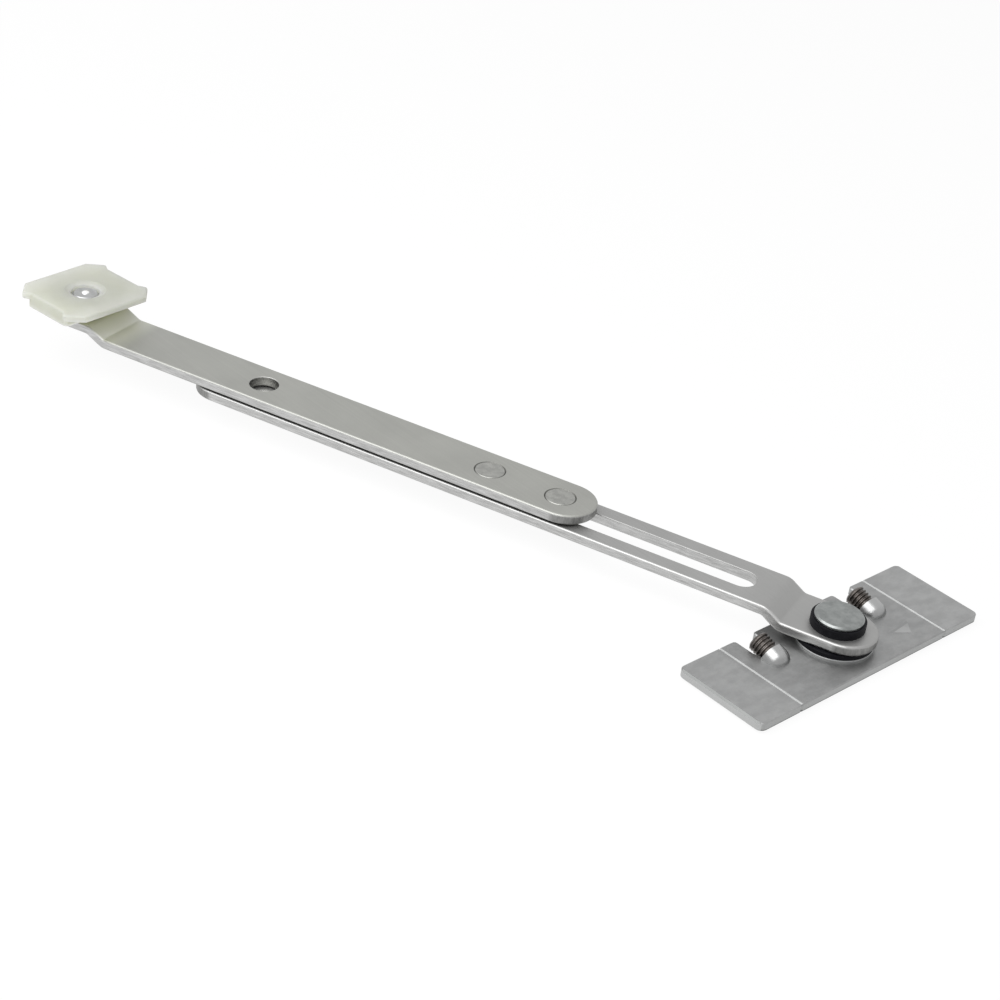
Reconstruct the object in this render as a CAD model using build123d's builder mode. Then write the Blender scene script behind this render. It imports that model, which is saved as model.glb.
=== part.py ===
from build123d import *
import os
from math import atan2, cos, degrees, radians, sin

# Pose: the arm swung about the stud, and the slide block turned on the bar, seen from above
arm_angle = 18.9
block_turn = -11.5

# Fits between pieces
running_fit = 0.06
seat_fit = 0.02
axial_play = 0.05

# Base plate, long side along Y
plate_length = 60.0
plate_width = 19.4
plate_thickness = 1.7
plate_corner_radius = 1.4
plate_end_bevel = 0.35
plate_edge_break = 0.2
score_line_offset = 19.7
score_width = 0.5
score_depth = 0.22
pad_diameter = 14.4
pad_height = 0.45
pad_edge_round = 0.15

# Clamp screws, their inclined bosses and the notches behind them
screw_diameter = 4.0
screw_length = 5.5
screw_spacing = 26.6
screw_tilt = 18.0
screw_inset = 2.9
screw_headroom = 0.22
screw_feed = 1.3
screw_socket_size = 2.0
screw_socket_depth = 2.0
screw_end_chamfer = 0.35
screw_point_chamfer = 1.0
boss_wall = 0.5
boss_setback = 3.6
boss_length = 3.75
boss_nose_radius = 2.2
notch_side_gap = 0.3
notch_depth = 5.1
notch_corner_radius = 0.8

# Pivot stud, bush and washer
stud_diameter = 6.0
stud_head_diameter = 9.0
stud_head_height = 0.7
stud_head_chamfer = 0.3
stud_foot_flare = 0.9
bush_wall = 0.8
bush_flange_diameter = 10.0
bush_flange_thickness = 1.5
washer_diameter = 14.0
washer_thickness = 0.7

# Flat steel strip of the slotted arm and the carrier bar
strip_width = 12.3
strip_thickness = 2.0
strip_gap = 0.35
strip_bend_radius = 1.2
strip_edge_round = 0.45
strip_hole_round = 0.2

# Slotted arm, distances along it from the stud
stud_overhang = 1.4
stud_bend_at = 8.8
stud_bend_run = 3.1
stud_joggle = 2.0
slot_width = 5.44
slot_start = 18.8
slide_travel = 37.3
arm_tail = 8.6
pip_diameter = 3.6
pip_clearance = 0.1

# Carrier bar
rivet_pitch = 15.0
detent_reach = 51.1
detent_diameter = 5.8
block_reach = 44.1
bar_bend_setback = 9.1
bar_bend_run = 3.8
bar_joggle = 1.9
bar_overhang = 2.0
bar_tail = 1.0

# Slide rivets with their glide bushes and backing washers
rivet_shank_diameter = 4.0
rivet_head_diameter = 6.1
rivet_head_depth = 1.1
rivet_edge_break = 0.15
rivet_tail_diameter = 6.0
rivet_tail_height = 0.8
rivet_tail_round = 0.4
glide_flange_diameter = 8.4
backing_washer_diameter = 7.8
backing_washer_thickness = 0.5

# Slide block and its rivet
block_width = 19.0
block_length = 21.4
block_corner_chamfer = 2.9
block_ear_width = 0.5
block_waist_depth = 0.8
block_waist_flare = 1.4
block_flange_thickness = 1.3
block_body_width = 12.0
block_body_height = 1.8
block_body_corner_radius = 1.0
block_hub_diameter = 9.0
block_hub_height = 0.9
block_corner_radius = 0.6
block_edge_round = 0.45
block_recess_depth = 1.4
block_recess_gap = 0.3
block_recess_flare = 1.2
block_recess_flare_depth = 0.6
block_rivet_diameter = 3.8
block_rivet_head_diameter = 5.2
block_rivet_head_height = 0.6
block_rivet_head_chamfer = 0.3
block_rivet_pip_diameter = 1.8
block_rivet_pip_height = 0.4
block_rivet_tail_diameter = 6.0
block_rivet_tail_height = 0.9

# Heights, from the underside of the plate upwards
pad_top = plate_thickness + pad_height
washer_top = pad_top + washer_thickness
arm_end_under = washer_top + axial_play
arm_end_top = arm_end_under + strip_thickness
flange_top = arm_end_top + bush_flange_thickness
stud_head_under = flange_top + axial_play
stud_head_top = stud_head_under + stud_head_height
arm_under = arm_end_under + stud_joggle
arm_top = arm_under + strip_thickness
bar_under = arm_top + strip_gap
bar_top = bar_under + strip_thickness
bar_end_under = bar_under + bar_joggle
bar_end_top = bar_end_under + strip_thickness
glide_under = arm_under - axial_play
rivet_tail_top = glide_under - backing_washer_thickness
block_under = bar_end_top + axial_play
block_body_under = block_under + block_hub_height
block_shoulder = block_body_under + block_body_height
block_top = block_shoulder + block_flange_thickness
block_recess_floor = block_top - block_recess_depth

# Places along the arm, from the stud outwards
front_rivet_at = slot_start + slide_travel
rear_rivet_at = front_rivet_at + rivet_pitch
detent_at = rear_rivet_at + detent_reach
arm_end_at = detent_at + arm_tail
block_pivot_at = detent_at + block_reach
bar_bend_at = block_pivot_at - bar_bend_setback
bar_end_at = block_pivot_at + bar_overhang

# Radii that several pieces share
stud_radius = stud_diameter / 2
bush_bore = stud_radius + running_fit
bush_radius = bush_bore + bush_wall
screw_radius = screw_diameter / 2
rivet_shank = rivet_shank_diameter / 2
rivet_head = rivet_head_diameter / 2
block_rivet_shank = block_rivet_diameter / 2

# Directions of the swung arm
arm_direction = Vector(1, 0, 0).rotate(Axis.Z, arm_angle)
across_arm = arm_direction.rotate(Axis.Z, -90)


def level_plane(height, distance=0.0, turn=0.0):
    """Level plane on the arm, at a height and at a distance from the stud."""
    origin = arm_direction * distance + Vector(0, 0, height)
    return Plane(origin=origin, x_dir=arm_direction.rotate(Axis.Z, turn), z_dir=(0, 0, 1))


def side_plane(distance=0.0):
    """Upright plane along the arm, with its own X along the arm and its own Y up."""
    return Plane(origin=arm_direction * distance, x_dir=arm_direction, z_dir=across_arm)


def post_axis(distance):
    """Upright axis on the arm's middle line."""
    return Axis(arm_direction * distance, (0, 0, 1))


def turned(profile, distance):
    """Piece turned about an upright axis, from points of radius and height."""
    with BuildPart() as piece:
        with BuildSketch(side_plane(distance)):
            with BuildLine():
                Polyline(*profile, close=True)
            make_face()
        revolve(axis=post_axis(distance))
    return piece


def dome(distance, level, diameter, height):
    """Shallow round dome on the arm's middle line, its flat side at a level."""
    radius = diameter / 2
    with BuildPart() as cap:
        with BuildSketch(side_plane(distance)):
            with BuildLine():
                ThreePointArc((-radius, level), (0, level + height), (radius, level))
                Line((-radius, level), (radius, level))
            make_face()
            split(bisect_by=Plane.YZ, keep=Keep.TOP)
        revolve(axis=post_axis(distance))
    return cap.part


def bent_strip(start, bend, run, end, level, rise):
    """Strip with round ends and rolled edges that runs level, climbs by a joggle and runs level."""
    middle = level + strip_thickness / 2
    with BuildPart() as strip:
        with BuildSketch(side_plane()):
            with BuildLine():
                FilletPolyline(
                    (start - strip_width, middle),
                    (bend, middle),
                    (bend + run, middle + rise),
                    (end + strip_width, middle + rise),
                    radius=strip_bend_radius + strip_thickness / 2,
                )
            trace(line_width=strip_thickness)
        extrude(amount=strip_width, both=True)
        with BuildSketch(level_plane(0, (start + end) / 2)):
            SlotCenterToCenter(end - start, strip_width)
        extrude(amount=level + rise + 2 * strip_thickness, mode=Mode.INTERSECT)
        steepest_lean = 0.1
        walls = strip.faces().filter_by(lambda wall: abs(wall.normal_at().Z) < steepest_lean)
        fillet(walls.edges().filter_by(Axis.Z, reverse=True), radius=strip_edge_round)
    return strip.part


# Clamp screw axis: it leans down from the notch in the rear edge towards the front edge
tilt = radians(screw_tilt)
screw_inward = Vector(-cos(tilt), 0, -sin(tilt))
screw_end_x = plate_width / 2 - screw_inset
screw_end_height = arm_under - screw_headroom - screw_radius * cos(tilt)
boss_radius = screw_radius + running_fit + boss_wall
boss_nose = min(boss_nose_radius, boss_radius - boss_wall / 2)
notch_width = screw_diameter + 2 * notch_side_gap


def screw_plane(side, depth=0.0):
    """Plane across a clamp screw's axis, facing inwards, at a depth from its outer end."""
    end = Vector(screw_end_x, side * screw_spacing / 2, screw_end_height)
    return Plane(origin=end + screw_inward * depth, x_dir=(0, 1, 0), z_dir=screw_inward)


def screw_boss(side):
    """Bullet-nosed boss round a clamp screw."""
    with BuildPart() as boss:
        with BuildSketch(screw_plane(side, boss_setback)):
            Circle(boss_radius)
        extrude(amount=boss_length)
        fillet(boss.edges().sort_by(Axis.X)[0], radius=boss_nose)
    return boss.part


def screw_bore(side):
    """Room for a clamp screw from its outer end to its innermost place."""
    with BuildPart() as bore:
        with BuildSketch(screw_plane(side)):
            Circle(screw_radius + running_fit)
        extrude(amount=screw_length + screw_feed + axial_play)
        chamfer(bore.edges().sort_by(Axis.X)[0], length=screw_point_chamfer)
    return bore.part


def clamp_screw(side):
    """Grub screw with a blunt cone point and a hexagon socket in its outer end."""
    with BuildPart() as screw:
        with BuildSketch(screw_plane(side)):
            Circle(screw_radius)
        extrude(amount=screw_length)
        point, end = screw.edges().filter_by(GeomType.CIRCLE).sort_by(Axis.X)
        chamfer(point, length=screw_point_chamfer)
        chamfer(end, length=screw_end_chamfer)
        with BuildSketch(screw_plane(side)):
            RegularPolygon(screw_socket_size / 2, 6, major_radius=False)
        extrude(amount=screw_socket_depth, mode=Mode.SUBTRACT)
    return screw


# Base plate: die-cast, with notches, scored end wings, a pad round the stud and two screw bosses
sides = (1, -1)
bosses = [screw_boss(side) for side in sides]
bores = [screw_bore(side) for side in sides]
with BuildPart() as base_plate:
    with BuildSketch() as outline:
        Rectangle(plate_width, plate_length)
        with Locations(*[(plate_width / 2, side * screw_spacing / 2) for side in sides]):
            Rectangle(2 * notch_depth, notch_width, mode=Mode.SUBTRACT)
        rows = outline.vertices().group_by(Axis.Y)
        fillet(rows[0] + rows[-1], radius=plate_corner_radius)
        notch_corners = outline.vertices().filter_by_position(
            Axis.Y, -screw_spacing / 2 - notch_width, screw_spacing / 2 + notch_width
        )
        fillet(notch_corners, radius=notch_corner_radius)
    extrude(amount=plate_thickness)
    faces_by_height = base_plate.faces().sort_by(Axis.Z)
    chamfer(faces_by_height[0].edges() + faces_by_height[-1].edges(), length=plate_edge_break)
    with BuildSketch(Plane.YZ):
        for side in sides:
            end = side * plate_length / 2
            bevel_start = end - side * plate_end_bevel
            with BuildLine():
                Polyline(
                    (bevel_start, plate_thickness),
                    (end, plate_thickness),
                    (end, plate_thickness - plate_end_bevel),
                    close=True,
                )
            make_face()
            score = side * score_line_offset
            with BuildLine():
                Polyline(
                    (score - score_width / 2, plate_thickness),
                    (score + score_width / 2, plate_thickness),
                    (score, plate_thickness - score_depth),
                    close=True,
                )
            make_face()
    extrude(amount=plate_width, both=True, mode=Mode.SUBTRACT)
    with BuildSketch():
        with GridLocations(plate_width, 2 * score_line_offset, 2, 2):
            Rectangle(score_width, score_width, rotation=45)
    extrude(amount=plate_thickness, mode=Mode.SUBTRACT)
    with BuildSketch(Plane.XY.offset(plate_thickness)):
        Circle(pad_diameter / 2)
    extrude(amount=pad_height)
    fillet(base_plate.faces().sort_by(Axis.Z)[-1].edges(), radius=pad_edge_round)
    add(bosses)
    split(bisect_by=Plane.XY, keep=Keep.TOP)
    add(bores, mode=Mode.SUBTRACT)
    with Locations(Location((0, 0, 0), (180, 0, 0))):
        CounterSinkHole(
            radius=stud_radius + seat_fit,
            counter_sink_radius=stud_radius + stud_foot_flare + seat_fit,
            depth=pad_top,
            counter_sink_angle=90,
        )

# Clamp screws: steel, backed out of their bosses
left_clamp_screw = clamp_screw(1)
right_clamp_screw = clamp_screw(-1)

# Pivot stud: steel, its foot riveted flush into the underside of the plate
stud_head = stud_head_diameter / 2
pivot_stud = turned(
    [
        (0, 0),
        (stud_radius + stud_foot_flare, 0),
        (stud_radius, stud_foot_flare),
        (stud_radius, stud_head_under),
        (stud_head, stud_head_under),
        (stud_head, stud_head_top - stud_head_chamfer),
        (stud_head - stud_head_chamfer, stud_head_top),
        (0, stud_head_top),
    ],
    0,
)

# Pivot bush: black plastic, pressed into the arm, its flange under the stud's head
pivot_bush = turned(
    [
        (bush_bore, arm_end_under),
        (bush_radius, arm_end_under),
        (bush_radius, arm_end_top),
        (bush_flange_diameter / 2, arm_end_top),
        (bush_flange_diameter / 2, flange_top),
        (bush_bore, flange_top),
    ],
    0,
)

# Pivot washer: black plastic, between the plate's pad and the arm
pivot_washer = turned(
    [
        (bush_bore, pad_top),
        (washer_diameter / 2, pad_top),
        (washer_diameter / 2, washer_top),
        (bush_bore, washer_top),
    ],
    0,
)

# Slotted arm: bent steel strip with a slot for the rivets and a pressed detent pip
slotted_strip = bent_strip(
    start=-stud_overhang,
    bend=stud_bend_at,
    run=stud_bend_run,
    end=arm_end_at,
    level=arm_end_under,
    rise=stud_joggle,
)
pip_height = strip_gap - pip_clearance
with BuildPart() as slotted_arm:
    add(slotted_strip)
    with BuildSketch(level_plane(0)):
        Circle(bush_radius + seat_fit)
    with BuildSketch(level_plane(0, (slot_start + rear_rivet_at) / 2)):
        SlotCenterToCenter(rear_rivet_at - slot_start, slot_width)
    extrude(amount=arm_top, mode=Mode.SUBTRACT)
    hole_rims = slotted_arm.edges(Select.LAST).filter_by(Axis.Z, reverse=True)
    fillet(hole_rims, radius=strip_hole_round)
    add(dome(detent_at, arm_under, pip_diameter, pip_height), mode=Mode.SUBTRACT)
    add(dome(detent_at, arm_top, pip_diameter, pip_height))

# Carrier bar: bent steel strip with two countersunk holes, the detent hole and the block's hole
bar_strip = bent_strip(
    start=front_rivet_at - bar_tail,
    bend=bar_bend_at,
    run=bar_bend_run,
    end=bar_end_at,
    level=bar_under,
    rise=bar_joggle,
)
rivet_cone = 2 * degrees(atan2(rivet_head - rivet_shank, rivet_head_depth))
with BuildPart() as carrier_bar:
    add(bar_strip)
    with BuildSketch(level_plane(bar_under, detent_at)):
        Circle(detent_diameter / 2)
    extrude(amount=strip_thickness, mode=Mode.SUBTRACT)
    detent_rims = carrier_bar.edges(Select.LAST).filter_by(Axis.Z, reverse=True)
    fillet(detent_rims, radius=strip_hole_round)
    with BuildSketch(level_plane(bar_end_under, block_pivot_at)):
        Circle(block_rivet_shank + seat_fit)
    extrude(amount=strip_thickness, mode=Mode.SUBTRACT)
    for place in (front_rivet_at, rear_rivet_at):
        with Locations(level_plane(bar_top, place)):
            CounterSinkHole(
                radius=rivet_shank + seat_fit,
                counter_sink_radius=rivet_head + seat_fit,
                depth=strip_thickness,
                counter_sink_angle=rivet_cone,
            )

# Slide rivets: steel, flush in the bar, their tails spread over the backing washers
rivet_tail_under = rivet_tail_top - rivet_tail_height
rivet_tail = rivet_tail_diameter / 2
rivet_slope = (rivet_head - rivet_shank) / rivet_head_depth
rivet_profile = [
    (0, rivet_tail_under),
    (rivet_tail - rivet_tail_round, rivet_tail_under),
    (rivet_tail, rivet_tail_under + rivet_tail_round),
    (rivet_tail, rivet_tail_top),
    (rivet_shank, rivet_tail_top),
    (rivet_shank, bar_top - rivet_head_depth),
    (rivet_head - rivet_edge_break * rivet_slope, bar_top - rivet_edge_break),
    (rivet_head - rivet_edge_break * (1 + rivet_slope), bar_top),
    (0, bar_top),
]
front_slide_rivet = turned(rivet_profile, front_rivet_at)
rear_slide_rivet = turned(rivet_profile, rear_rivet_at)

# Glide bushes: plastic, their sleeves run in the slot and their flanges hold the strips apart
glide_bore = rivet_shank + seat_fit
glide_sleeve = slot_width / 2 - running_fit
glide_profile = [
    (glide_bore, glide_under),
    (glide_sleeve, glide_under),
    (glide_sleeve, arm_top + axial_play),
    (glide_flange_diameter / 2, arm_top + axial_play),
    (glide_flange_diameter / 2, bar_under),
    (glide_bore, bar_under),
]
front_glide_bush = turned(glide_profile, front_rivet_at)
rear_glide_bush = turned(glide_profile, rear_rivet_at)

# Backing washers: steel, under the slotted arm
backing_profile = [
    (glide_bore, rivet_tail_top),
    (backing_washer_diameter / 2, rivet_tail_top),
    (backing_washer_diameter / 2, glide_under),
    (glide_bore, glide_under),
]
front_backing_washer = turned(backing_profile, front_rivet_at)
rear_backing_washer = turned(backing_profile, rear_rivet_at)

# Slide block: moulded nylon, a waisted flange with cut corners over a narrower body and a hub
block_bore = block_rivet_shank + running_fit
recess_radius = block_rivet_head_diameter / 2 + block_recess_gap
recess_cut = turned(
    [
        (0, block_under),
        (block_bore, block_under),
        (block_bore, block_recess_floor),
        (recess_radius, block_recess_floor),
        (recess_radius, block_top - block_recess_flare_depth),
        (recess_radius + block_recess_flare, block_top),
        (0, block_top),
    ],
    block_pivot_at,
)
waist_mouth = block_width - 2 * (block_corner_chamfer + block_ear_width)
waist_angle = degrees(atan2(block_waist_depth, block_waist_flare))
block_body_length = block_length - 2 * block_waist_depth
with BuildPart() as slide_block:
    with BuildSketch(level_plane(block_under, block_pivot_at)):
        Circle(block_hub_diameter / 2)
    extrude(amount=block_hub_height)
    with BuildSketch(level_plane(block_body_under, block_pivot_at, block_turn)):
        RectangleRounded(block_body_width, block_body_length, block_body_corner_radius)
    extrude(amount=block_body_height)
    with BuildSketch(level_plane(block_shoulder, block_pivot_at, block_turn)) as flange:
        Rectangle(block_width, block_length)
        chamfer(flange.vertices(), length=block_corner_chamfer)
        front_side = Location((0, -block_length / 2, 0))
        rear_side = Location((0, block_length / 2, 0), (0, 0, 180))
        with Locations(front_side, rear_side):
            Trapezoid(
                width=waist_mouth,
                height=block_waist_depth,
                left_side_angle=waist_angle,
                align=(Align.CENTER, Align.MIN),
                mode=Mode.SUBTRACT,
            )
        fillet(flange.vertices(), radius=block_corner_radius)
    extrude(amount=block_flange_thickness)
    fillet(slide_block.faces().sort_by(Axis.Z)[-1].edges(), radius=block_edge_round)
    add(recess_cut.part, mode=Mode.SUBTRACT)

# Block rivet: steel, spread under the bar, its head with a round pip down in the block's recess
block_head_under = block_recess_floor + axial_play
block_head_top = block_head_under + block_rivet_head_height
block_head = block_rivet_head_diameter / 2
block_tail = block_rivet_tail_diameter / 2
block_tail_under = bar_end_under - block_rivet_tail_height
plain_rivet = turned(
    [
        (0, block_tail_under),
        (block_tail - rivet_tail_round, block_tail_under),
        (block_tail, block_tail_under + rivet_tail_round),
        (block_tail, bar_end_under),
        (block_rivet_shank, bar_end_under),
        (block_rivet_shank, block_head_under),
        (block_head, block_head_under),
        (block_head, block_head_top - block_rivet_head_chamfer),
        (block_head - block_rivet_head_chamfer, block_head_top),
        (0, block_head_top),
    ],
    block_pivot_at,
)
with BuildPart() as block_rivet:
    add(plain_rivet.part)
    add(dome(block_pivot_at, block_head_top, block_rivet_pip_diameter, block_rivet_pip_height))

pieces = {
    "base_plate": base_plate,
    "left_clamp_screw": left_clamp_screw,
    "right_clamp_screw": right_clamp_screw,
    "pivot_stud": pivot_stud,
    "pivot_bush": pivot_bush,
    "pivot_washer": pivot_washer,
    "slotted_arm": slotted_arm,
    "carrier_bar": carrier_bar,
    "front_slide_rivet": front_slide_rivet,
    "rear_slide_rivet": rear_slide_rivet,
    "front_glide_bush": front_glide_bush,
    "rear_glide_bush": rear_glide_bush,
    "front_backing_washer": front_backing_washer,
    "rear_backing_washer": rear_backing_washer,
    "slide_block": slide_block,
    "block_rivet": block_rivet,
}
os.makedirs("parts", exist_ok=True)
for name, piece in pieces.items():
    piece.part.label = name
    export_step(piece.part, f"parts/{name}.step")
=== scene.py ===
import bmesh
import bpy
import numpy as np
from mathutils import Matrix, Vector


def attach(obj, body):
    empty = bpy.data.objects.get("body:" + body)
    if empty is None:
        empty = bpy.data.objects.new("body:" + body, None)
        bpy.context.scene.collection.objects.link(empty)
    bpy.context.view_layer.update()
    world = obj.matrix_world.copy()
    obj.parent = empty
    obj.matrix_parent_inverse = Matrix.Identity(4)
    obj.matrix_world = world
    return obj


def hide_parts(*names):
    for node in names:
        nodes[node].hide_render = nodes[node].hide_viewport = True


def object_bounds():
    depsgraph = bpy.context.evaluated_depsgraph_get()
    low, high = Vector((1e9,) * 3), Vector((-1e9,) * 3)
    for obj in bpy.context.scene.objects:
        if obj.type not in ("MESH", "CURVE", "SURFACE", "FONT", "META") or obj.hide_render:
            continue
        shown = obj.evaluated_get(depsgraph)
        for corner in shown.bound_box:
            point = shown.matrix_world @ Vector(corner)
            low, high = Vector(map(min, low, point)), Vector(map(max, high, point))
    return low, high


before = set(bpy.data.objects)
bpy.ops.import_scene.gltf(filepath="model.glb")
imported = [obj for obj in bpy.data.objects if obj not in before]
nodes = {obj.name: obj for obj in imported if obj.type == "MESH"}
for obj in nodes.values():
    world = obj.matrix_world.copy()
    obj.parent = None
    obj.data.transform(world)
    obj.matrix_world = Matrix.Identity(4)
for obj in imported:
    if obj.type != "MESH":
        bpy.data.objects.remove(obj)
cad_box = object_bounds()


# Base plate: a flat zinc die-casting with scored end wings, a low pad round the stud and two
# bullet-nosed bosses. It lies in the window frame's groove, lifted against the lips by its screws.

metre = 1000.0


class Wire:
    """An output socket of a material's node tree. Expressions on wires add Math nodes to that tree."""

    def __init__(self, socket):
        self.socket = socket
        self.tree = socket.id_data

    def node(self, kind, settings=None, sockets=None, output=0):
        """New node of a type: its settings are set first, then its sockets get values or wires."""
        made = self.tree.nodes.new(kind)
        for name, value in (settings or {}).items():
            setattr(made, name, value)
        for key, value in (sockets or {}).items():
            if isinstance(value, Wire):
                self.tree.links.new(value.socket, made.inputs[key])
            else:
                made.inputs[key].default_value = value
        return Wire(made.outputs[output])

    def maths(self, operation, *values):
        """Math node whose inputs are the given values and wires, in order."""
        return self.node("ShaderNodeMath", {"operation": operation}, dict(enumerate(values)))

    def __add__(self, other):
        return self.maths("ADD", self, other)

    __radd__ = __add__

    def __sub__(self, other):
        return self.maths("SUBTRACT", self, other)

    def __rsub__(self, other):
        return self.maths("SUBTRACT", other, self)

    def __mul__(self, other):
        return self.maths("MULTIPLY", self, other)

    __rmul__ = __mul__

    def __abs__(self):
        return self.maths("ABSOLUTE", self)

    def sine(self):
        return self.maths("SINE", self)

    def reach(self, other):
        """Distance from an axis: the root of the squares of two coordinates added."""
        return self.maths("SQRT", self * self + other * other)

    def step(self, low, high):
        """0 below low, 1 above high and a smooth rise between them; low over high turns it round."""
        rise = {"Value": self, "From Min": low, "From Max": high, "To Min": 0.0, "To Max": 1.0}
        if low > high:
            rise.update({"From Min": high, "From Max": low, "To Min": 1.0, "To Max": 0.0})
        return self.node("ShaderNodeMapRange", {"interpolation_type": "SMOOTHSTEP"}, rise)

    def tint(self, low, high):
        """Colour that runs from low, where the wire is 0, to high, where it is 1."""
        return self.node("ShaderNodeMix", {"data_type": "RGBA"}, {0: self, 6: low, 7: high}, 2)

    def noise(self, scale, detail=3.0, rough=0.5):
        """Noise value from 0 to 1 over this wire's coordinates."""
        sockets = {"Vector": self, "Scale": scale, "Detail": detail, "Roughness": rough}
        return self.node("ShaderNodeTexNoise", {}, sockets)

    def placed(self, centre=(0, 0, 0), turn=0.0, stretch=(1, 1, 1)):
        """These coordinates seen from a centre in mm, turned about Z by degrees, then stretched."""
        moved = self.node("ShaderNodeVectorMath", {"operation": "SUBTRACT"}, {0: self, 1: centre})
        sockets = {"Vector": moved, "Rotation": (0, 0, np.radians(turn)), "Scale": stretch}
        return self.node("ShaderNodeMapping", {}, sockets)

    def split(self):
        """The three parts of these coordinates."""
        parts = self.node("ShaderNodeSeparateXYZ", {}, {0: self})
        return [Wire(part) for part in parts.socket.node.outputs]

    def upward(self):
        """The upright part of the surface's normal: 1 where it faces up and -1 where it faces down."""
        return self.node("ShaderNodeNewGeometry", output="Normal").split()[2]

    def bump(self, depth):
        """Normal of a surface raised by this wire's value in mm, times a depth."""
        sockets = {"Height": self, "Strength": depth, "Distance": 1 / metre}
        return self.node("ShaderNodeBump", {}, sockets, "Normal")


def finish(name, **constants):
    """New material: its Principled shader, with the sockets that are the same all over, and the
    coordinates in mm."""
    material = bpy.data.materials.new(name)
    material.use_nodes = True
    shader = material.node_tree.nodes["Principled BSDF"]
    for key, value in constants.items():
        shader.inputs[key.replace("_", " ")].default_value = value
    metres = Wire(material.node_tree.nodes.new("ShaderNodeTexCoord").outputs["Object"])
    mm = metres.node("ShaderNodeVectorMath", {"operation": "SCALE"}, {0: metres, "Scale": metre})
    return material, shader, mm


def feed(shader, **wires):
    """Links wires to the sockets of a shader that vary over the surface."""
    for key, wire in wires.items():
        wire.tree.links.new(wire.socket, shader.inputs[key.replace("_", " ")])


def dress(material, *names):
    """Gives a material to CAD nodes."""
    for name in names:
        nodes[name].material_slots[0].material = material


wing_end_place = 29.6
score_place = 19.7
plate_top = 1.7
pad_room = 7.6
arrow_corners = np.array([(-4.2, -15.7), (-4.7, -10.8), (-6.65, -13.8)])
skin_tones = (0.265, 0.267, 0.267, 1), (0.41, 0.413, 0.412, 1)
side_tones = (0.29, 0.295, 0.295, 1), (0.44, 0.445, 0.44, 1)
end_light_tones = (0.40, 0.405, 0.405, 1), (0.58, 0.585, 0.58, 1)
worn_tones = (0.16, 0.165, 0.165, 1), (0.30, 0.305, 0.30, 1)
foot_shadow_tone = (0.13, 0.132, 0.132, 1)
boss_highlight_tone = (0.385, 0.388, 0.388, 1)


def beyond(x, y, start, end):
    """Distance in mm of a point outside a straight side: its offset from the side's start, taken along
    the normal on the right of the way from start to end."""
    way = end - start
    outward = np.array((way[1], -way[0])) / np.hypot(*way)
    return (x - start[0]) * outward[0] + (y - start[1]) * outward[1]


cast_zinc, shader, mm = finish("cast_zinc", Metallic=1.0)
x, y, z = mm.split()
cloud = mm.noise(scale=0.16, detail=4.0, rough=0.6)
patch = mm.placed(stretch=(0.7, 0.35, 1.0)).noise(scale=0.75, detail=4.0, rough=0.6).step(0.3, 0.7)
grain = mm.noise(scale=5.0, detail=3.0, rough=0.6)
rub = mm.placed(stretch=(0.12, 2.2, 1.0)).noise(scale=1.0, detail=4.0, rough=0.65)
# The arrow's top is painted paler, a painted highlight, and a painted shadow lies along its long side
long_side, rear_side, front_side = (
    beyond(x, y, start, end) for start, end in zip(arrow_corners, np.roll(arrow_corners, -1, 0))
)
between = front_side.step(0.12, -0.12) * rear_side.step(0.12, -0.12)
arrow = between * long_side.step(0.12, -0.12)
arrow_painted_shadow = between * long_side.step(-0.1, 0.1) * long_side.step(0.6, 0.3)
# Where the casting is upright, cut off at its ends, scored, raised as a boss, or at its foot, where a
# painted contact shadow darkens it
upward = mm.upward()
upright = abs(upward).step(0.4, 0.15)
wing_end = abs(y).step(wing_end_place - 0.1, wing_end_place + 0.1)
score = abs(abs(y) - score_place).step(0.32, 0.2) * z.step(1.2, 1.3) * z.step(plate_top + 0.05, plate_top)
boss = z.step(plate_top + 0.1, plate_top + 0.3) * x.reach(y).step(pad_room, pad_room + 0.6)
# Between the score lines the plate is painted darker than its wings: painted shade.
painted_middle_shade = abs(y).step(21.5, 18.5)
# The long sides are painted darker along their foot: a painted contact shadow.
foot_shadow = z.step(0.52, 0.2)
bevel = wing_end * (1 - upright) + score * 0.4
mottle = patch * 0.38 + cloud * 0.2 + rub * 0.27 + grain * 0.15
skin = (mottle - painted_middle_shade * 0.28 + arrow * 0.35 - arrow_painted_shadow * 0.6).tint(*skin_tones)
long_edge = foot_shadow.tint((grain * 0.5 + rub * 0.5).tint(*side_tones), foot_shadow_tone)
# The upright faces of the cut ends are painted paler than the skin: painted light.
end_face_light = (rub * 0.6 + cloud * 0.4).tint(*end_light_tones)
plain = upright.tint(skin, wing_end.tint(long_edge, end_face_light))
# The bosses' upward faces are painted in one paler tone: a painted highlight.
plain_with_boss_highlight = (boss * upward.step(0.5, 0.95)).tint(plain, boss_highlight_tone)
feed(
    shader,
    Base_Color=bevel.tint(plain_with_boss_highlight, rub.tint(*worn_tones)),
    Roughness=0.30 + cloud * 0.16 + rub * 0.12 + bevel * 0.12 - boss * 0.14,
    Normal=(grain * 0.012 + cloud * 0.05 + rub * 0.008 + arrow * 0.02).bump(0.8),
)
dress(cast_zinc, "base_plate")


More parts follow.
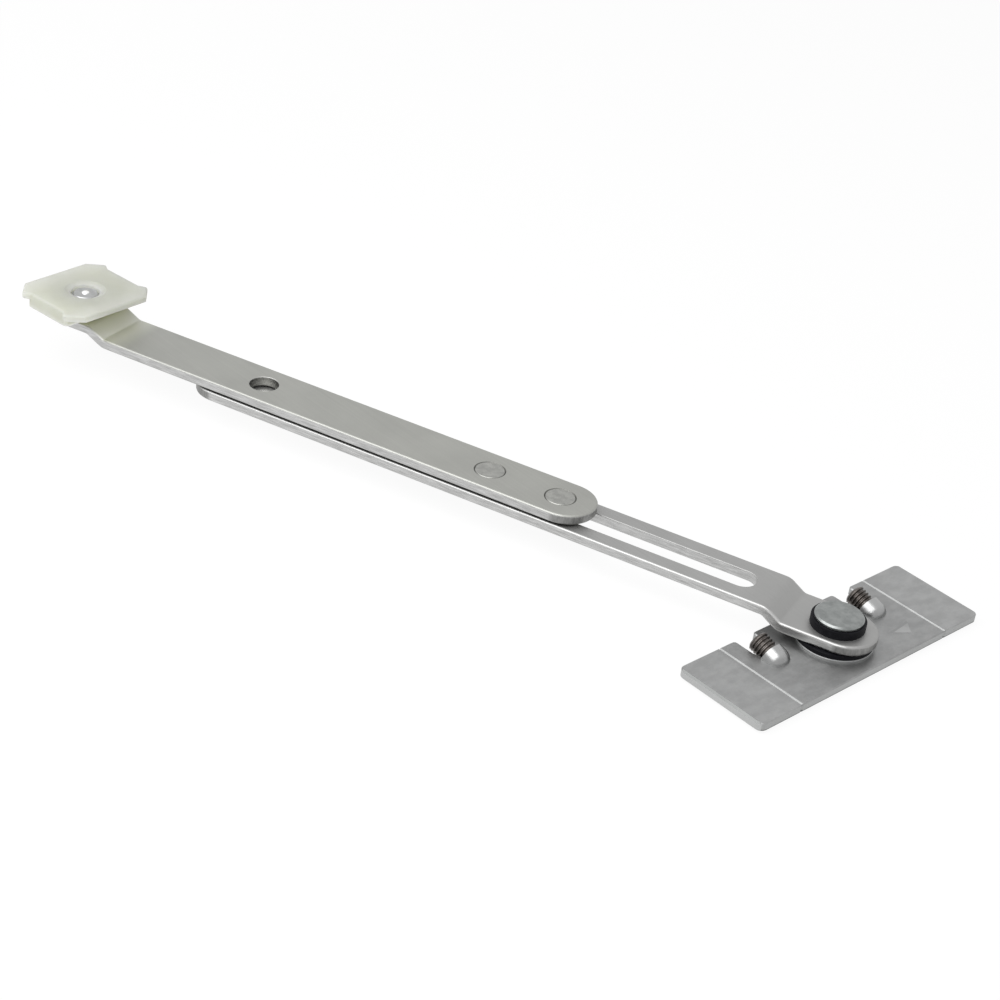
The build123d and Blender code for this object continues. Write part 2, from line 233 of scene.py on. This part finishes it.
def loft(name, rows, material):
    """Closed skin in metres through rows of points in mm, all of one length; the first and the last row
    shrink to a point. Each pair of rows is joined by a ring of quads, doubled points are merged and the
    faces are turned outwards."""
    count, turns = rows.shape[:2]
    row, place = np.meshgrid(np.arange(count - 1) * turns, np.arange(turns), indexing="ij")
    ahead = (place + 1) % turns
    quads = np.stack([row + place, row + ahead, row + turns + ahead, row + turns + place], -1)
    mesh = bpy.data.meshes.new(name)
    mesh.from_pydata((rows.reshape(-1, 3) / metre).tolist(), [], quads.reshape(-1, 4).tolist())
    form = bmesh.new()
    form.from_mesh(mesh)
    bmesh.ops.remove_doubles(form, verts=form.verts, dist=1e-7)
    bmesh.ops.recalc_face_normals(form, faces=form.faces)
    form.to_mesh(mesh)
    form.free()
    mesh.materials.append(material)
    piece = bpy.data.objects.new(name, mesh)
    bpy.context.scene.collection.objects.link(piece)
    return piece


# The arrow is cast with the plate: a low triangle whose foot is sunk in it and whose sides taper
arrow_foot = 1.62
arrow_top = 1.80
arrow_taper = 0.92
arrow_middle = arrow_corners.mean(0)
arrow_spread = np.array([0.0, 1.0, arrow_taper, 0.0])
arrow_rows = np.empty((len(arrow_spread), *arrow_corners.shape[:1], 3))
arrow_rows[..., :2] = arrow_middle + arrow_spread[:, None, None] * (arrow_corners - arrow_middle)
arrow_rows[..., 2] = np.array([arrow_foot, arrow_foot, arrow_top, arrow_top])[:, None]
arrow_piece = loft("plate_arrow", arrow_rows, cast_zinc)
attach(arrow_piece, "base")


# Clamp screws: M4 grub screws of dark steel with a rolled thread and a hexagon socket. They are
# screwed into the plate's slanting bosses from the notches and press on the groove's floor.

screw_radius = 2.0
screw_length = 5.49
screw_rim = 0.35
screw_point = 1.0
screw_pitch = 0.7
thread_depth = 0.38
thread_fade = 0.3
socket_width = 2.0
socket_depth = 2.0
socket_lead = 0.12
socket_corner = 0.02
socket_floor = 0.93
socket_drill = 0.45
screw_tilt = np.radians(18.0)
screw_end = np.array((6.8, 13.3, 2.7779))
screw_tones = (0.075, 0.066, 0.06, 1), (0.20, 0.185, 0.175, 1)


def grub_screw(turns=96, rows=150):
    """Socket floor, hexagon walls, outer face, thread and point as rows of one skin. The thread's radius
    follows the height less the angle's share of a pitch: a rounded ridge, faded out at both ends."""
    angle = np.arange(turns) * 2 * np.pi / turns
    full = np.ones(turns)
    hexagon = socket_width / 2 / np.cos((angle + np.pi / 6) % (np.pi / 3) - np.pi / 6)
    thread_end = screw_length - screw_point
    along = np.linspace(screw_rim, thread_end, rows)[:, None]
    phase = (along / screw_pitch - angle / (2 * np.pi)) % 1.0
    ridge = np.clip(np.abs(phase * 2 - 1) * 1.5 - 0.25, 0, 1)
    from_ends = np.minimum(along - screw_rim, thread_end - along)
    shank = screw_radius - thread_depth * (1 - ridge) * np.clip(from_ends / thread_fade, 0, 1)
    rim = (screw_radius - screw_rim) * full
    point = (screw_radius - screw_point) * full
    socket = [0 * full, socket_floor * hexagon, hexagon, hexagon, hexagon + socket_lead]
    floor_levels = socket_depth + np.array([socket_drill, 0.0, -socket_corner])
    radii = np.array([*socket, rim, *shank, point, 0 * full])
    levels = np.array([*floor_levels, socket_lead, 0.0, 0.0, *along[:, 0], screw_length, screw_length])
    return np.stack([radii * np.cos(angle), radii * np.sin(angle), levels[:, None] * full], -1)


dark_steel, shader, mm = finish("dark_steel", Metallic=1.0)
oil = mm.noise(scale=0.7, detail=3.0, rough=0.6)
scuff = mm.noise(scale=6.0, detail=4.0, rough=0.65)
feed(
    shader,
    Base_Color=(oil * 0.6 + scuff * 0.4).step(0.3, 0.72).tint(*screw_tones),
    Roughness=0.24 + oil * 0.22,
    Normal=(scuff * 0.012).bump(0.7),
)
inward = Vector((-np.cos(screw_tilt), 0, -np.sin(screw_tilt)))
sideways = Vector((0, 1, 0))
screw_axes = np.array((sideways, inward.cross(sideways), inward))
for hand, body in ((1, "left_screw"), (-1, "right_screw")):
    place = screw_end * (1, hand, 1)
    screw = loft(body + "_thread", grub_screw() @ screw_axes + place, dark_steel)
    screw.data.polygons.foreach_set("use_smooth", np.ones(len(screw.data.polygons), bool))
    screw.data.set_sharp_from_angle(angle=np.radians(38))
    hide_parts(body.replace("_screw", "_clamp_screw"))
    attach(screw, body)


# Pivot: a turned steel stud, riveted into the plate, holds the arm down through a flanged bush of
# black acetal, and a black acetal washer keeps the arm off the plate's pad.

stud_rim = 4.6
stud_tones = (0.195, 0.205, 0.203, 1), (0.315, 0.328, 0.323, 1)
dull_tone = (0.12, 0.12, 0.115, 1)
rivet_pip_highlight_tone = (0.93, 0.93, 0.92, 1)
acetal_tones = (0.005, 0.005, 0.007, 1), (0.015, 0.015, 0.018, 1)


def turned_steel(name, centre, tones, rim, highlight_radius=0.0):
    """Lathe-turned or spun steel: fine rings round an upright axis, the sine of the radius with a little
    wander, a few handling marks between two tones, a dull rim from one radius in mm outwards and, for a
    pip, a middle within another painted near white: polish and a painted highlight."""
    material, shader, mm = finish(name, Metallic=1.0)
    across, along, _ = mm.placed(centre).split()
    radius = across.reach(along)
    wander = mm.noise(scale=0.8, detail=2.0) * 0.35
    rings = ((radius + wander) * 30.0).sine()
    marks = mm.noise(scale=0.75, detail=4.0, rough=0.6)
    dull = radius.step(rim, rim + 0.12)
    # Within a radius the middle is painted near white: polish and a painted highlight on the pip.
    pip_highlight = radius.step(highlight_radius, highlight_radius - 0.2)
    spun = (marks.step(0.25, 0.75) * 0.8 + rings * 0.07 + 0.1).tint(*tones)
    feed(
        shader,
        Base_Color=pip_highlight.tint(dull.tint(spun, dull_tone), rivet_pip_highlight_tone),
        Roughness=0.27 + marks * 0.16 + dull * 0.15 - pip_highlight * 0.04,
        Normal=(rings * 0.0012 + marks * 0.012).bump(0.8),
    )
    return material


dress(turned_steel("stud_steel", (0, 0, 0), stud_tones, stud_rim), "pivot_stud")

black_acetal, shader, mm = finish("black_acetal", IOR=1.48, Specular_IOR_Level=0.12)
speck = mm.noise(scale=9.0, detail=3.0, rough=0.6)
dust = mm.noise(scale=0.9, detail=4.0, rough=0.7)
feed(
    shader,
    Base_Color=dust.step(0.45, 0.8).tint(*acetal_tones),
    Roughness=0.42 + dust * 0.18,
    Normal=(speck * 0.008).bump(0.7),
)
dress(black_acetal, "pivot_bush", "pivot_washer", "front_glide_bush", "rear_glide_bush")


# Slotted arm: cold-rolled steel strip with rolled long edges, blanked with its slot and joggled at
# the stud end. Its flats show fine rolling lines, its sides drawn lines and its sheared ends are torn.

arm_angle = 18.9
arm_ends = -1.4, 130.8
detent_place = (122.2, 0, 0)
rivet_places = np.array((56.1, 71.1))
rivet_seat = 3.08
bend_place = 160.0
arm_tones = (0.285, 0.285, 0.281, 1), (0.41, 0.41, 0.405, 1)
arm_edge_highlight_tone = (0.45, 0.45, 0.446, 1)
bend_light_tone = (0.53, 0.535, 0.49, 1)
drawn_tones = (0.39, 0.39, 0.385, 1), (0.66, 0.66, 0.655, 1)
torn_tones = (0.21, 0.21, 0.206, 1), (0.34, 0.34, 0.333, 1)
detent_pip_highlight_tones = (0.40, 0.40, 0.39, 1), (0.96, 0.96, 0.94, 1)
hole_wall_shade_tone = (0.24, 0.24, 0.228, 1)
seat_tone = (0.17, 0.17, 0.16, 1)


def rolled_strip(name, ends, tones, edge_tone, bar_share):
    """Strip steel: lines along the arm and slow clouds between two tones, burnished top edges in a tone of
    their own, paler than the flats on the arm as a painted highlight, pale drawn sides, rough dark sides
    on the round ends, which begin at two distances from the stud, and at the detent a painted shade on the
    hole's wall and a pip painted near white, a painted highlight. A share of 1 adds the bar's bend,
    painted paler and yellower as painted light from the nylon block, and its dark rivet seats."""
    material, shader, mm = finish(name, Metallic=1.0)
    first, last = ends
    straight = mm.placed(turn=-arm_angle)
    along, across, _ = straight.split()
    lines = mm.placed(turn=-arm_angle, stretch=(0.045, 3.4, 1.0)).noise(scale=1.0, detail=4.0, rough=0.62)
    drawn = mm.placed(turn=-arm_angle, stretch=(0.07, 1.0, 4.5)).noise(scale=1.0, detail=4.0, rough=0.6)
    torn = mm.placed(turn=-arm_angle, stretch=(2.2, 2.2, 0.5)).noise(scale=1.3, detail=4.0, rough=0.6)
    clouds = straight.noise(scale=0.10, detail=3.0, rough=0.55)
    pores = mm.noise(scale=7.0, detail=3.0, rough=0.6)
    upward = mm.upward()
    side = abs(upward).step(0.55, 0.25)
    sheared = side * (along.step(first + 0.6, first - 0.9) + along.step(last - 0.6, last + 0.9))
    # The rounded top edges are burnished, with less roughness, and get their own tone; the arm's is paler
    # than its flats: a painted highlight.
    edge = abs(upward).step(0.88, 0.80) * (1 - side) * abs(across).step(5.45, 5.6)
    # Near the block the bar's bend is painted paler and yellower: painted light from the nylon block above
    # it.
    painted_bend_light = abs(along - bend_place).step(9.0, 4.0) * bar_share
    from_rivet = abs(along - rivet_places.mean()) - np.ptp(rivet_places) / 2
    seat = from_rivet.reach(across).step(rivet_seat + 0.04, rivet_seat - 0.04) * bar_share
    # At the detent the hole's wall is painted dark, a painted shade, and the pip below it is painted near
    # white, a painted highlight.
    detent_along, detent_across, _ = straight.placed(detent_place).split()
    from_detent = detent_along.reach(detent_across)
    detent_light_and_shade = from_detent.step(3.06, 2.96)
    hole_shade_and_pip_highlight = side.tint(from_detent.step(2.3, 1.3).tint(*detent_pip_highlight_tones), hole_wall_shade_tone)
    rolled = painted_bend_light.tint((lines * 0.55 + clouds * 0.45).tint(*tones), bend_light_tone)
    sides = side.tint(edge.tint(rolled, edge_tone), drawn.step(0.2, 0.8).tint(*drawn_tones))
    strip = sheared.tint(sides, torn.step(0.25, 0.75).tint(*torn_tones))
    feed(
        shader,
        Base_Color=detent_light_and_shade.tint(seat.tint(strip, seat_tone), hole_shade_and_pip_highlight),
        Roughness=0.42 + lines * 0.12 + clouds * 0.08 + sheared * torn * 0.12 - side * 0.12 - edge * 0.08,
        Normal=(lines * 0.004 + pores * 0.004 + side * drawn * 0.012 + sheared * torn * 0.03).bump(0.8),
    )
    return material


dress(rolled_strip("arm_strip", arm_ends, arm_tones, arm_edge_highlight_tone, bar_share=0.0), "slotted_arm")


# Carrier bar: the same steel strip, countersunk for the slide rivets, pierced for the detent and
# joggled up to the slide block. It lies over the slotted arm and slides along it.

bar_ends = 55.1, 168.3
bar_tones = (0.29, 0.292, 0.276, 1), (0.42, 0.4225, 0.398, 1)
bar_edge_tone = (0.36, 0.362, 0.345, 1)
dress(rolled_strip("bar_strip", bar_ends, bar_tones, bar_edge_tone, bar_share=1.0), "carrier_bar")


# Slide rivets: steel, flush in the bar. They pass through plastic glide bushes in the slot and are
# spread over steel washers below the arm.

rivet_rim = 2.78
rivet_tones = (0.255, 0.257, 0.245, 1), (0.39, 0.392, 0.37, 1)
arm_line = np.array((np.cos(np.radians(arm_angle)), np.sin(np.radians(arm_angle)), 0.0))
for rivet, distance in zip(("front", "rear"), rivet_places):
    spun_steel = turned_steel(rivet + "_rivet_steel", tuple(arm_line * distance), rivet_tones, rivet_rim)
    dress(spun_steel, rivet + "_slide_rivet", rivet + "_backing_washer")


# Slide block: natural nylon, moulded with a waisted flange and cut corners. It is slightly
# translucent, turns on a steel rivet at the end of the bar and runs in the sash's groove.

block_pivot = tuple(arm_line * 166.3)
milk_tones = (0.51, 0.522, 0.452, 1), (0.56, 0.572, 0.508, 1)
recess_light_tone = (0.71, 0.72, 0.66, 1)
underside_light_tone = (0.90, 0.91, 0.62, 1)
nylon, shader, mm = finish(
    "natural_nylon",
    IOR=1.53,
    Specular_IOR_Level=0.30,
    Subsurface_Weight=1.0,
    Subsurface_Scale=0.010,
    Subsurface_Radius=(1.0, 1.0, 0.85),
)
milk = mm.noise(scale=0.22, detail=3.0, rough=0.5)
flow = mm.noise(scale=2.2, detail=3.0, rough=0.55)
fine = mm.noise(scale=12.0, detail=3.0, rough=0.6)
across, along, up = mm.placed(block_pivot).split()
# Round the rivet the recess is painted paler than the block: painted light against its shade.
painted_recess_light = across.reach(along).step(4.2, 2.9) * up.step(13.2, 13.6)
# Faces that look down are painted paler and yellower: painted light coming through the nylon.
painted_underside_light = mm.upward().step(-0.5, -0.9)
milky = (milk * 0.7 + flow * 0.3).step(0.25, 0.75).tint(*milk_tones)
feed(
    shader,
    Base_Color=painted_underside_light.tint(painted_recess_light.tint(milky, recess_light_tone), underside_light_tone),
    Roughness=0.36 + flow * 0.16,
    Normal=(flow * 0.02 + fine * 0.004).bump(0.7),
)
dress(nylon, "slide_block")

block_rivet_rim = 3.2
block_rivet_pip = 0.85
block_rivet_tones = (0.34, 0.345, 0.345, 1), (0.50, 0.505, 0.505, 1)
spun_steel = turned_steel(
    "block_rivet_steel", block_pivot, block_rivet_tones, block_rivet_rim, highlight_radius=block_rivet_pip
)
dress(spun_steel, "block_rivet")


# Table and light: a pale floor under the screws' points, an even white room and one broad soft lamp
# overhead, a little to the side that the plate's left wing points to.

floor_half = 3.0
floor_paint = (0.95, 0.95, 0.95, 1)
floor_glow = 1.03
floor_glow_share = 0.9
room_light = 0.28
lamp_size = 0.60, 0.50
lamp_power = 2.4
lamp_place = (0.10, 0.27, 0.42)
lamp_target = (0.075, 0.02, 0.005)


def looked_at(tree):
    """1 for rays from the camera, a mirror or a lens, and 0 for rays that only carry light."""
    path = tree.nodes.new("ShaderNodeLightPath")
    seen = Wire(path.outputs["Is Camera Ray"])
    mirrored = seen.maths("MAXIMUM", seen, Wire(path.outputs["Is Glossy Ray"]))
    return seen.maths("MAXIMUM", mirrored, Wire(path.outputs["Is Transmission Ray"]))


floor_corners = np.full((4, 3), cad_box[0][2])
floor_corners[:, :2] = floor_half * np.array([(-1, -1), (1, -1), (1, 1), (-1, 1)])
floor_mesh = bpy.data.meshes.new("floor")
floor_mesh.from_pydata(floor_corners.tolist(), [], [(0, 1, 2, 3)])
floor = bpy.data.objects.new("floor", floor_mesh)
bpy.context.scene.collection.objects.link(floor)
white_floor = bpy.data.materials.new("white_floor")
white_floor.use_nodes = True
tree = white_floor.node_tree
tree.nodes.clear()
seen = looked_at(tree)
paint = seen.node("ShaderNodeBsdfDiffuse", {}, {"Color": floor_paint})
glow = seen.node("ShaderNodeEmission", {}, {"Color": (1, 1, 1, 1), "Strength": floor_glow})
shown = seen.node("ShaderNodeMixShader", {}, {0: seen * floor_glow_share, 1: paint, 2: glow})
output = tree.nodes.new("ShaderNodeOutputMaterial")
tree.links.new(shown.socket, output.inputs["Surface"])
floor_mesh.materials.append(white_floor)

room = bpy.data.worlds.new("white_room")
bpy.context.scene.world = room
room.use_nodes = True
background = room.node_tree.nodes["Background"]
background.inputs["Color"].default_value = (1, 1, 1, 1)
feed(background, Strength=looked_at(room.node_tree) * (1 - room_light) + room_light)

lamp_data = bpy.data.lights.new("softbox", "AREA")
lamp_data.shape = "RECTANGLE"
lamp_data.size, lamp_data.size_y = lamp_size
lamp_data.energy = lamp_power
lamp = bpy.data.objects.new("softbox", lamp_data)
bpy.context.scene.collection.objects.link(lamp)
lamp.location = lamp_place
lamp.rotation_euler = (Vector(lamp_target) - lamp.location).to_track_quat("-Z", "Y").to_euler()


# Camera: a long lens above the plate's front left corner, slightly rolled. Its place and directions
# were fitted to the straight edges of the plate and the strips.

sensor_width = 36.0
lens_to_sensor = 2.09175
camera_place = Vector((-0.17005716, 0.26454691, 0.20645273))
right = Vector((-0.66552885, -0.73787933, 0.11227398))
ahead = Vector((0.59607687, -0.6159943, -0.51501785))
camera_data = bpy.data.cameras.new("camera")
camera_data.sensor_fit = "HORIZONTAL"
camera_data.sensor_width = sensor_width
camera_data.lens = sensor_width * lens_to_sensor
camera_data.clip_start = 0.01
camera = bpy.data.objects.new("camera", camera_data)
bpy.context.scene.collection.objects.link(camera)
axes = Matrix((right, right.cross(ahead), -ahead)).transposed()
camera.matrix_world = Matrix.Translation(camera_place) @ axes.to_4x4()
bpy.context.scene.camera = camera
bpy.context.scene.view_settings.view_transform = "Standard"
